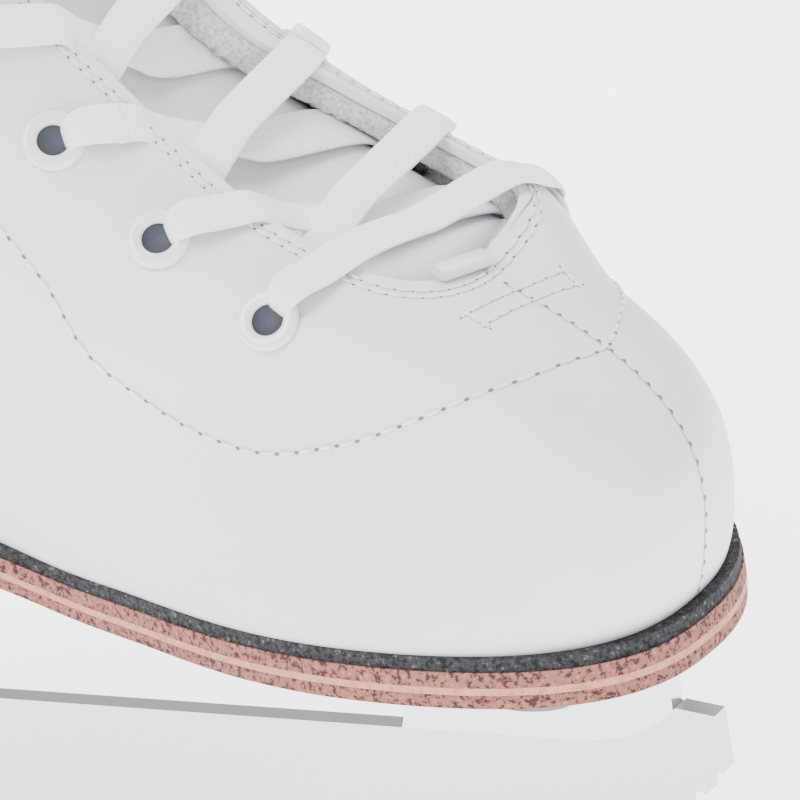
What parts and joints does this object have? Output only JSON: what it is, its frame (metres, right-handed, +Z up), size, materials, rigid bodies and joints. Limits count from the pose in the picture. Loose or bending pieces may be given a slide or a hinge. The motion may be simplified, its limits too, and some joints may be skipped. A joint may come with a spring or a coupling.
{
  "type": "figure skate",
  "caption": "Lace-up leather figure skate for the left foot, with a stacked sole, heel, plates and a steel runner with a toe pick.",
  "frame": {"origin": "on the ice line, in the middle plane of the runner, under the arch of the boot", "axes": "+X towards the toe, +Y to the wearer's left, which is the outer side of this left skate, +Z up"},
  "size_m": [0.2706, 0.1052, 0.312],
  "materials": {
    "white_leather": "satin",
    "collar_leather": "satin",
    "fleece_lining": "matte",
    "stiffener_board": "matte",
    "canvas": "matte",
    "tongue_foam": "matte",
    "fibre_board": "matte",
    "footbed_felt": "matte",
    "black_welt": "matte",
    "sole_leather": "matte",
    "sole_band": "matte",
    "heel_rubber": "matte",
    "spring_steel": "satin",
    "white_enamel": "gloss",
    "nickel_hook": "polished",
    "tab_gloss": "gloss",
    "white_lace": "matte",
    "clear_tip": "gloss",
    "plated_steel": "polished",
    "runner_steel": "satin",
    "screw_steel": "satin"
  },
  "bodies": {
    "boot": {"aglet_left": "clear_tip", "aglet_right": "clear_tip", "backstay": "white_leather", "bow_knot": "white_lace", "bow_loop_left": "white_lace", "bow_loop_right": "white_lace", "collar_padding": "collar_leather", "eyelets_left": "white_enamel", "eyelets_right": "white_enamel", "footbed": "footbed_felt", "front_stanchion": "plated_steel", "heel_base": "sole_leather", "heel_counter": "stiffener_board", "heel_lift_1": "sole_leather", "heel_lift_2": "sole_leather", "heel_lift_3": "sole_leather", "heel_plate": "plated_steel", "heel_plate_screws": "screw_steel", "heel_top_piece": "heel_rubber", "hooks_left": "nickel_hook", "hooks_right": "nickel_hook", "insole_board": "fibre_board", "interlining": "canvas", "lace": "white_lace", "lace_end_left": "white_lace", "lace_end_right": "white_lace", "lining": "fleece_lining", "rear_stanchion": "plated_steel", "runner": "runner_steel", "shank": "spring_steel", "sole_bottom": "sole_leather", "sole_mid": "sole_band", "sole_plate": "plated_steel", "sole_plate_screws": "screw_steel", "sole_top": "sole_leather", "throat_tab": "tab_gloss", "toe_box": "stiffener_board", "tongue_lower": "white_leather", "tongue_pad_lower": "tongue_foam", "upper_left_half": "white_leather", "upper_right_half": "white_leather", "welt": "black_welt"},
    "tongue_top": {"tongue_flap": "white_leather", "tongue_pad_flap": "tongue_foam"}
  },
  "joints": [
    {"name": "tongue_flex", "type": "hinge", "parent": "boot", "child": "tongue_top", "pos_m": [-0.0015, 0, 0.29], "axis": [0, 1, 0], "range_deg": [-8, 30], "stiffness_Nm_per_rad": 0.3}
  ]
}
